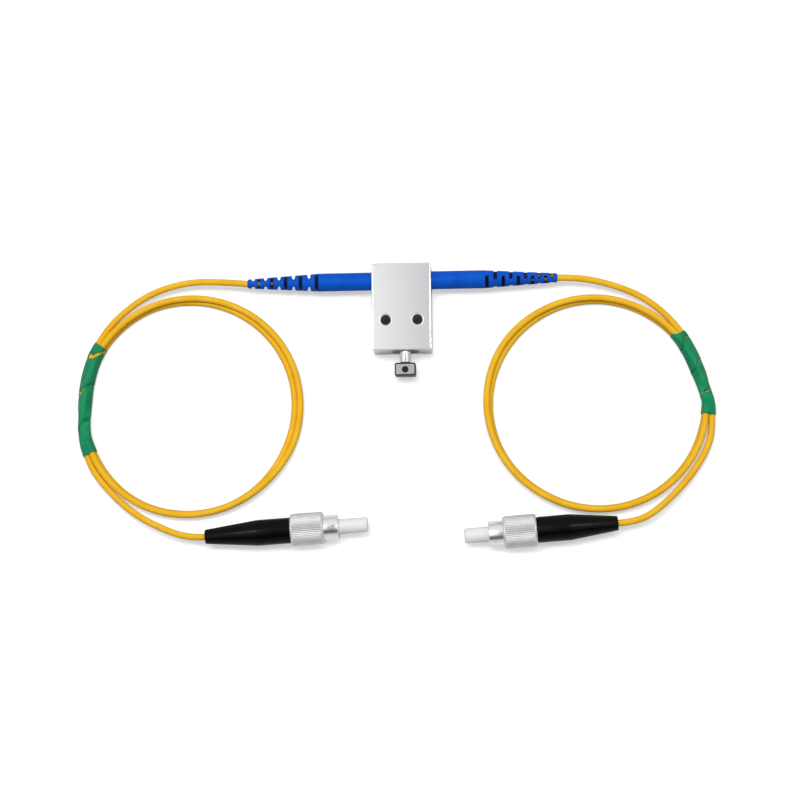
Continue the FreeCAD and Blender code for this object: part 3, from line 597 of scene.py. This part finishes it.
def makeCable(side):
    cable = cables[side]
    points = cable["lead"] + coilPoints(cable) + cable["tail"]
    curve = bpy.data.curves.new("cable_" + side, "CURVE")
    curve.dimensions = "3D"
    spline = curve.splines.new("NURBS")
    spline.points.add(len(points) - 1)
    for point, spot in zip(spline.points, points):
        point.co = (spot[0] * mm, spot[1] * mm, spot[2] * mm, 1.0)
    spline.order_u = 3
    spline.use_endpoint_u = True
    spline.resolution_u = cableSize["stepsPerPoint"]
    length = splineLength(curve)
    curve.bevel_depth = cableSize["diameter"] / 2 * mm
    curve.bevel_resolution = cableSize["roundness"]
    curve.use_fill_caps = True
    nodes = [part + "_" + side for part in ("cable_lead", "cable_coil", "cable_tail")]
    piece = placePiece(bpy.data.objects.new("cable_" + side, curve), "base", nodes)
    print("cable", side, "is", round(length, 4), "m long")
    return piece, length


cablePieces = {side: makeCable(side) for side in cables}

# green tape, wound in a spiral round the three strands; gaps are degrees of coil left open at each seam,
# first on the coil's inner side, then on its outer side, and cut is how far the tape's start slants across
tapeWrap = {
    "left": {"cut": 0.0, "seam": 150.3, "pitch": 18.8, "bands": 4,
             "gaps": [(2.0, 2.4), (-1.2, 1.7), (-1.2, 0.9), (-1.0, -1.0)]},
    "right": {"cut": 3.2, "seam": 34.6, "pitch": -14.6, "bands": 4,
              "gaps": [(-0.2, 0.5), (0.1, 0.5), (0.3, 0.6), (-1.0, -1.0)]},
    "leadIn": 1.5,  # turns wound before the first seam
    "slack": 0.15,  # how unevenly a turn advances along the coil
    "gap": 0.10,  # air between strands and tape
    "overlapRise": 0.05,  # a band climbs this much to its middle, and again to its far edge
    "floorClear": 0.02,
    "thickness": 0.12,
    "sliver": 0.01,  # thinner faces are dissolved
    "stepsRound": 40,
    "stepsAcross": 8,
    "crease": 50.0,
}


def seamGap(wrap, number, outward):
    inner, outer = wrap["gaps"][min(max(number, 0), len(wrap["gaps"]) - 1)]
    return between(inner, outer, (outward + 1) / 2)


def makeTape(side):
    cable = cables[side]
    wrap = tapeWrap[side]
    start, stop = cable["tape"]
    way = math.copysign(1, wrap["pitch"])
    rounds = wrap["bands"] + tapeWrap["leadIn"]
    bm = bmesh.new()
    bmesh.ops.create_grid(bm, x_segments=int(rounds * tapeWrap["stepsRound"]),
                          y_segments=tapeWrap["stepsAcross"], size=1.0)
    cutOff = set()
    for v in bm.verts:
        wound = (v.co.x + 1) / 2 * rounds - tapeWrap["leadIn"]
        across = v.co.y
        lean = math.pi / 2 - 2 * math.pi * wound * way
        face = (math.cos(lean), math.sin(lean))
        eased = wound - tapeWrap["slack"] * math.sin(2 * math.pi * wound) / (2 * math.pi)
        seam = round(wound) + (1 if across > 0 else 0)
        half = (abs(wrap["pitch"]) - seamGap(wrap, seam, face[0])) / 2
        angle = wrap["seam"] + wrap["pitch"] * (eased + 0.5) + across * half * way
        begin = start + way * wrap["cut"] * (face[0] + 1) / 2
        held = min(max(angle, min(begin, stop)), max(begin, stop))
        if held != angle:
            cutOff.add(v)
        share = (held - start) / (stop - start)
        strands = [tapedSpot(cable["loop"], held, p, share) for p in range(len(tapedPasses))]
        outermost = max(strands, key=lambda s: s[0] * face[0] + s[1] * face[1])
        lift = cableSize["diameter"] / 2 + tapeWrap["gap"] + tapeWrap["overlapRise"] * (across + 1)
        radius = outermost[0] + lift * face[0]
        height = max(outermost[1] + lift * face[1], tapeWrap["floorClear"])
        v.co = Vector(aroundCoil(cable, held, radius, height)) * mm
    beyond = [f for f in bm.faces if all(v in cutOff for v in f.verts)]
    bmesh.ops.delete(bm, geom=beyond, context="FACES")
    bmesh.ops.dissolve_degenerate(bm, dist=tapeWrap["sliver"] * mm, edges=bm.edges)
    piece = meshPiece("tape_" + side, bm, "base", ["coil_tape_" + side], tapeWrap["crease"])
    wall = piece.modifiers.new("thickness", "SOLIDIFY")
    wall.thickness = tapeWrap["thickness"] * mm
    wall.offset = 0.0
    return piece


tapePieces = {side: makeTape(side) for side in cables}
print("cables and tapes made")

# blue strain reliefs with rounded ribs; the rings are where their skin has edges, in mm from the root and
# the tip, and as shares of a slot's flare
relief = {
    "endRadius": 2.75,
    "straight": 16.0,
    "tipRadius": 1.4,
    "slots": 10,
    "firstSlot": 16.9,
    "lastGap": 1.75,
    "pitchFall": 0.032,
    "slotHalf": 0.28,
    "slotFlare": 0.32,
    "floorShare": 0.50,  # a slot's floor from the axis, as a share of the radius
    "leastFacing": 0.05,  # stops a flat floor from reaching out without end
    "roll": {"left": -10.0, "right": 45.0},
    "rootRound": 0.15,
    "tipRound": 0.6,
    "rootRings": (0.0, 0.03, 0.08, 4.0, 8.0, 12.0),
    "tipRings": (0.0, 0.02, 0.1, 0.25, 0.4),
    "flareRings": (-0.02, 0.02, 0.25, 0.5, 0.75, 0.95, 1.05),
    "steps": 96,
    "paintedShadeFrom": 0.06,  # depth under the skin from which a slot gets painted shade
    "paintedShadeFlare": (0.2, 0.6),  # shares of the flare where the painted shade fades out
}


def reliefSlots(length):
    # middle of each slot along the sleeve, closer together towards the tip
    steps = [1 - relief["pitchFall"] * k for k in range(relief["slots"] - 1)]
    pitch = (length - relief["lastGap"] - relief["firstSlot"]) / sum(steps)
    return [relief["firstSlot"] + pitch * sum(steps[:k]) for k in range(relief["slots"])]


def makeRelief(side):
    low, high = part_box("strain_relief_" + side)
    length = (high.x - low.x) / mm
    middles = reliefSlots(length)
    turned = math.radians(relief["roll"][side])
    half, flare = relief["slotHalf"], relief["slotFlare"]

    def plainRadius(x):
        plain = relief["endRadius"]
        if x > relief["straight"]:
            share = (x - relief["straight"]) / (length - relief["straight"])
            plain = between(plain, relief["tipRadius"], share)
        for ending, rounding in ((x, relief["rootRound"]), (length - x, relief["tipRound"])):
            drop = max(0.0, rounding - ending)
            plain -= rounding - math.sqrt(rounding ** 2 - drop ** 2)
        return plain

    def reach(xMetre, turn):
        # slots have flat floors and flared walls, and each is a quarter turn on from the last
        x = xMetre / mm
        plain = plainRadius(x)
        for k, middle in enumerate(middles):
            away = abs(x - middle)
            if away < half + flare:
                facing = abs(math.cos(turn - turned - (math.pi / 2 if k % 2 == 0 else 0)))
                floor = relief["floorShare"] * plain / max(facing, relief["leastFacing"])
                wall = plain * between(relief["floorShare"], 1, (away - half) / flare)
                plain = min(plain, max(floor, wall if away > half else 0.0))
        return plain * mm

    stations = {*relief["rootRings"], relief["rootRound"], relief["straight"]}
    stations |= {length - s for s in (*relief["tipRings"], relief["tipRound"])}
    for middle in middles:
        for way in (-1, 1):
            stations |= {middle + way * (half + flare * s) for s in relief["flareRings"]}
    stations = sorted(s for s in stations if 0 <= s <= length)
    bm = ringStack([s * mm for s in stations], relief["steps"], reach)
    # painted shade: deep parts of each slot get a value up to 1, which darkens their blue
    recess = bm.verts.layers.float.new("recess")
    deep, clear = (half + flare * s for s in relief["paintedShadeFlare"])
    for v in bm.verts:
        x = v.co.x / mm
        away = min(abs(x - middle) for middle in middles)
        if plainRadius(x) - math.hypot(v.co.y, v.co.z) / mm > relief["paintedShadeFrom"]:
            v[recess] = min(1.0, max(0.0, (clear - away) / (clear - deep)))
    root = Vector((low.x if side == "right" else high.x, (low.y + high.y) / 2, (low.z + high.z) / 2))
    heading = Matrix.Rotation(0.0 if side == "right" else math.pi, 4, "Z")
    bmesh.ops.transform(bm, matrix=Matrix.Translation(root) @ heading, verts=bm.verts)
    meshPiece("relief_" + side, bm, "base", ["strain_relief_" + side])


for side in cables:
    makeRelief(side)
print("strain reliefs made")


def jointNamed(name):
    return next(j for j in frame["joints"] if j["name"] == name)


def plugPlace(side):
    joint = jointNamed(side + "_nut_spin")
    heading = math.atan2(joint["axis"][1], joint["axis"][0])
    return Matrix.Translation(Vector(joint["pos_m"])) @ Matrix.Rotation(heading, 4, "Z")


def turnedOnPlug(part, side, bm, body, node):
    # a turned piece, drawn along the plug's axis in mm from the back of the coupling nut, set in its place
    bmesh.ops.transform(bm, matrix=plugPlace(side), verts=bm.verts)
    return meshPiece(part + "_" + side, bm, body, [node + "_" + side])


# black rubber boot
boot = {
    "tail": {"left": -25.9, "right": -24.2},
    "shoulder": -10.0,
    "front": 0.0,
    "tailRadius": 2.15,
    "radius": 3.9,
    "bore": 1.05,
    "socket": 3.0,
    "socketFloor": -9.0,
    "soft": 0.3,
}


def makeBoot(side):
    tail = boot["tail"][side]
    outline = [(tail, boot["bore"]), (tail, boot["tailRadius"]), (boot["shoulder"], boot["radius"]),
               (boot["front"], boot["radius"]), (boot["front"], boot["socket"]),
               (boot["socketFloor"], boot["socket"]), (boot["socketFloor"], boot["bore"])]
    return turnedOnPlug("boot", side, turnedShape(outline, boot["soft"], True), "base", "plug_boot")


# front sleeve with the recess round the ferrule
barrel = {
    "back": 7.0,
    "front": 14.5,
    "radius": 3.75,
    "recess": 2.4,
    "recessFloor": 11.1,
    "bore": 1.3,
    "soft": 0.22,
}


def makeBarrel(side):
    outline = [(barrel["back"], barrel["bore"]), (barrel["back"], barrel["radius"]),
               (barrel["front"], barrel["radius"]), (barrel["front"], barrel["recess"]),
               (barrel["recessFloor"], barrel["recess"]), (barrel["recessFloor"], barrel["bore"])]
    return turnedOnPlug("barrel", side, turnedShape(outline, barrel["soft"], True), "base", "plug_barrel")


# dust cap, pushed on to a different depth on each side
cap = {
    "back": {"left": 12.85, "right": 11.2},
    "length": 10.5,
    "radius": 2.25,
    "bore": 1.28,
    "boreDepth": 7.9,
    "soft": 0.7,
    "softSteps": 5,
    "stepsRound": 64,
}


def makeCap(side):
    back = cap["back"][side]
    front = back + cap["length"]
    boreEnd = back + cap["boreDepth"]
    outline = [(boreEnd, 0.0), (boreEnd, cap["bore"]), (back, cap["bore"]), (back, cap["radius"]),
               (front, cap["radius"]), (front, 0.0)]
    nose = outline.index((front, cap["radius"]))
    bm = turnedShape(outline, cap["soft"], False, [nose], cap["softSteps"], cap["stepsRound"])
    return turnedOnPlug("cap", side, bm, side + "_cap", "dust_cap")


# ceramic ferrule, its CAD form shaded smooth
ferrule = {"crease": 30.0}


def makeFerrule(side):
    node = "ferrule_" + side
    body = side + "_ferrule_set"
    return meshPiece("ferrule_shown_" + side, cadCopy(node), body, [node], ferrule["crease"])


def addSkin(bm, stations, steps, radiusAt):
    # a ring stack without its two end faces, added to bm
    skin = ringStack(stations, steps, radiusAt)
    bmesh.ops.delete(skin, geom=[f for f in skin.faces if len(f.verts) > 4], context="FACES_ONLY")
    mesh = bpy.data.meshes.new("skin")
    skin.to_mesh(mesh)
    skin.free()
    bm.from_mesh(mesh)
    bpy.data.meshes.remove(mesh)


# knurled coupling nut
nut = {
    "length": 10.0,
    "back": 0.1,
    "radius": 4.9,
    "bore": 3.81,
    "teeth": 56,
    "toothDepth": 0.13,
    "stepsPerTooth": 4,
    "bevel": 0.45,
    "bevelRings": (0.0, 0.15, 0.3),
    "rim": 0.55,
    "rimBlend": (-0.01, 0.05),
    "crease": 24.0,
}


def makeNut(side):
    length, radius = nut["length"], nut["radius"]

    def reach(xMetre, turn):
        # fine teeth between plain rims, inside what the end bevels leave
        edge = min(xMetre / mm, length - xMetre / mm)
        tooth = (math.cos(turn * nut["teeth"]) + 1) / 2
        cut = nut["toothDepth"] * (1 - tooth if edge >= nut["rim"] else 1)
        return (radius - max(cut, nut["bevel"] - edge)) * mm

    stations = [*nut["bevelRings"], nut["bevel"]] + [nut["rim"] + s for s in nut["rimBlend"]]
    stations = stations + [length / 2] + [length - s for s in reversed(stations)]
    steps = nut["teeth"] * nut["stepsPerTooth"]
    bm = bmesh.new()
    addSkin(bm, [s * mm for s in stations], steps, reach)
    addSkin(bm, [0.0, length * mm], steps, lambda x, turn: nut["bore"] * mm)
    for end in (0.0, length * mm):
        loose = [e for e in bm.edges if len(e.link_faces) == 1]
        rim = [e for e in loose if all(abs(v.co.x - end) < sameSpot for v in e.verts)]
        bmesh.ops.bridge_loops(bm, edges=rim)
    shift = Matrix.Translation((nut["back"] * mm, 0, 0))
    bmesh.ops.transform(bm, matrix=plugPlace(side) @ shift, verts=bm.verts)
    return meshPiece("nut_" + side, bm, side + "_nut", ["coupling_nut_" + side], nut["crease"])


def makeSpring(node):
    # a CAD spring, shaded smooth, on a mesh of its own
    piece = meshPiece(node + "_shown", cadCopy(node), "base", [node])
    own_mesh(piece)
    return piece


def makePlug(side):
    return [make(side) for make in (makeBoot, makeBarrel, makeCap, makeFerrule, makeNut)]


plugPieces = {side: makePlug(side) for side in cables}
for side in cables:
    plugPieces[side].append(makeSpring("ferrule_spring_" + side))
print("plugs made")

# flat knob, its sides a little inside the CAD block; its sides and edges are painted darker than its top, as
# painted shade
knob = {"side": 0.2, "rear": 0.2, "front": 0.45, "endReach": 0.9, "topFacing": 0.95, "crease": 10.0}


def makeKnob():
    low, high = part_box("knob")
    middle = (low.x + high.x) / 2
    bm = cadCopy("knob")
    for v in bm.verts:
        aside = v.co.x - middle
        if abs(aside) > (high.x - low.x) / 4:
            v.co.x -= math.copysign(knob["side"] * mm, aside)
        if v.co.y > high.y - knob["endReach"] * mm:
            v.co.y -= knob["rear"] * mm
        elif v.co.y < low.y + knob["endReach"] * mm:
            v.co.y += knob["front"] * mm
    # painted shade on every face of the knob that doesn't look up
    flankShade = bm.faces.layers.float.new("flankShade")
    for f in bm.faces:
        f.normal_update()
        f[flankShade] = 0.0 if f.normal.z > knob["topFacing"] else 1.0
    meshPiece("knob_shown", bm, "adjuster", ["knob"], knob["crease"])


# adjusting screw along its own axis, in mm from the housing's front face, the knob's stub first
screw = {
    "outline": [(-6.8, 0.0), (-6.8, 1.1), (-3.4, 1.1), (-3.4, 1.75), (7.2, 1.75), (7.2, 1.2), (8.8, 1.2),
                (8.8, 0.0)],
    "soft": 0.1,
}


def makeScrew():
    low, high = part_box("adjusting_screw")
    bm = turnedShape(screw["outline"], screw["soft"])
    nose = screw["outline"][-1][0] * mm
    start = Vector(((low.x + high.x) / 2, high.y - nose, (low.z + high.z) / 2))
    inwards = Matrix.Rotation(math.pi / 2, 4, "Z")
    bmesh.ops.transform(bm, matrix=Matrix.Translation(start) @ inwards, verts=bm.verts)
    meshPiece("screw_shown", bm, "adjuster", ["adjusting_screw"])


makeSpring("return_spring")
makeKnob()
makeScrew()
print("screw and knob made")

# floor, lamps and world; each band is where one level goes over to the next, by distance or direction
studio = {
    "floorSize": 4.0,
    "floorDrop": 0.00005,
    "floorShade": 0.74,
    "floorBounce": 0.25,
    "floorGlow": 0.42,
    "farGlow": 1.00,
    "farBand": (0.2, 1.0),
    "blockEdge": 0.96,  # share of the block's reach from which the floor begins to glow
    "mirrorGlow": 0.05,
    "skyFront": 0.15,
    "frontBand": (-0.55, -0.25),
    "skyBack": 1.10,
    "backBand": (0.22, 0.42),
    "skySide": 1.65,
    "panelBand": (0.30, 0.90),
    "skyMiddle": 0.15,
    "stripPlace": 0.065,
    "stripBand": (0.06, 0.15),
    "skyEdge": 0.90,
    "edgeBand": (0.30, 0.58),
    "skyOnMatt": 0.50,
}
lampAim = (0, -0.03, 0)
lamps = {
    "topLamp": {"place": (-0.04, 0.17, 0.85), "size": 0.30, "power": 3.0, "mirrored": False},
    "leftLamp": {"place": (-0.30, 0.09, 0.74), "size": 0.16, "power": 1.06, "mirrored": True},
    "rightLamp": {"place": (0.27, 0.08, 0.75), "size": 0.16, "power": 0.95, "mirrored": True},
}


def seenRays(tree):
    # 1 for rays that look at the studio, straight or by way of metal and glass
    rays = tree.nodes.new("ShaderNodeLightPath").outputs
    first = reckoned(tree, "MAXIMUM", rays["Is Camera Ray"], rays["Is Glossy Ray"])
    return reckoned(tree, "MAXIMUM", first, rays["Is Transmission Ray"])


def floorStrength(tree):
    # how much the paper glows: nothing under the block, more far off, little in mirroring metal
    low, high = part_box("housing")
    spot = spotOn(tree, "Object")
    split = splitUp(tree, spot)
    clear = []
    for axis, reach in (("X", high.x), ("Y", high.y)):
        away = reckoned(tree, "ABSOLUTE", split[axis])
        clear.append(ramped(tree, away, (reach * studio["blockEdge"], reach)))
    distance = tree.nodes.new("ShaderNodeVectorMath")
    distance.operation = "LENGTH"
    tree.links.new(spot, distance.inputs[0])
    far = ramped(tree, distance.outputs["Value"], studio["farBand"])
    level = mixed(tree, far, studio["floorGlow"], studio["farGlow"])
    shine = reckoned(tree, "MULTIPLY", reckoned(tree, "MAXIMUM", *clear), level)
    rays = tree.nodes.new("ShaderNodeLightPath").outputs
    return mixed(tree, rays["Is Glossy Ray"], shine, studio["mirrorGlow"])


def mattShader(tree, shade):
    matt = tree.nodes.new("ShaderNodeBsdfDiffuse")
    matt.inputs["Color"].default_value = (shade, shade, shade, 1.0)
    return matt.outputs["BSDF"]


def makePaper():
    # white paper that keeps the shadow where it is seen, and throws little light back up
    material = bpy.data.materials.new("floorPaper")
    material.use_nodes = True
    tree = material.node_tree
    tree.nodes.clear()
    out = tree.nodes.new("ShaderNodeOutputMaterial")
    glow = tree.nodes.new("ShaderNodeEmission")
    lit = tree.nodes.new("ShaderNodeAddShader")
    pick = tree.nodes.new("ShaderNodeMixShader")
    tree.links.new(floorStrength(tree), glow.inputs["Strength"])
    tree.links.new(mattShader(tree, studio["floorShade"]), lit.inputs[0])
    tree.links.new(glow.outputs["Emission"], lit.inputs[1])
    tree.links.new(seenRays(tree), pick.inputs["Fac"])
    tree.links.new(mattShader(tree, studio["floorBounce"]), pick.inputs[1])
    tree.links.new(lit.outputs["Shader"], pick.inputs[2])
    tree.links.new(pick.outputs["Shader"], out.inputs["Surface"])
    return material


def makeFloor():
    bm = bmesh.new()
    bmesh.ops.create_grid(bm, x_segments=4, y_segments=4, size=studio["floorSize"] / 2)
    bmesh.ops.translate(bm, vec=(0, 0, -studio["floorDrop"]), verts=bm.verts)
    mesh = bpy.data.meshes.new("floor")
    bm.to_mesh(mesh)
    bm.free()
    mesh.materials.append(makePaper())
    floor = bpy.data.objects.new("floor", mesh)
    scene.collection.objects.link(floor)


def addLamp(name, lamp):
    light = bpy.data.lights.new(name, "AREA")
    light.shape = "DISK"
    light.size = lamp["size"]
    light.energy = lamp["power"]
    rig = bpy.data.objects.new(name, light)
    rig.location = lamp["place"]
    rig.rotation_euler = (Vector(lampAim) - Vector(lamp["place"])).to_track_quat("-Z", "Y").to_euler()
    rig.visible_glossy = lamp["mirrored"]
    scene.collection.objects.link(rig)


def makeWorld():
    # two side panels with a dark strip between them overhead, a light back and edge, a dark front
    world = bpy.data.worlds.new("studio")
    scene.world = world
    world.use_nodes = True
    tree = world.node_tree
    tree.nodes.clear()
    out = tree.nodes.new("ShaderNodeOutputWorld")
    sky = tree.nodes.new("ShaderNodeBackground")
    spot = splitUp(tree, spotOn(tree, "Generated"))
    aside = reckoned(tree, "SUBTRACT", spot["X"], studio["stripPlace"])
    sideways = reckoned(tree, "ABSOLUTE", aside)
    panel = mixed(tree, ramped(tree, spot["Z"], studio["panelBand"]), studio["skyEdge"], studio["skySide"])
    overhead = mixed(tree, ramped(tree, sideways, studio["stripBand"]), studio["skyMiddle"], panel)
    behind = mixed(tree, ramped(tree, spot["Y"], studio["backBand"]), overhead, studio["skyBack"])
    upper = mixed(tree, ramped(tree, spot["Y"], studio["frontBand"]), studio["skyFront"], behind)
    level = mixed(tree, ramped(tree, spot["Z"], studio["edgeBand"]), studio["skyEdge"], upper)
    share = mixed(tree, seenRays(tree), studio["skyOnMatt"], 1.0)
    tree.links.new(reckoned(tree, "MULTIPLY", level, share), sky.inputs["Strength"])
    tree.links.new(sky.outputs["Background"], out.inputs["Surface"])


makeFloor()
for name, lamp in lamps.items():
    addLamp(name, lamp)
makeWorld()
print("floor and light set")
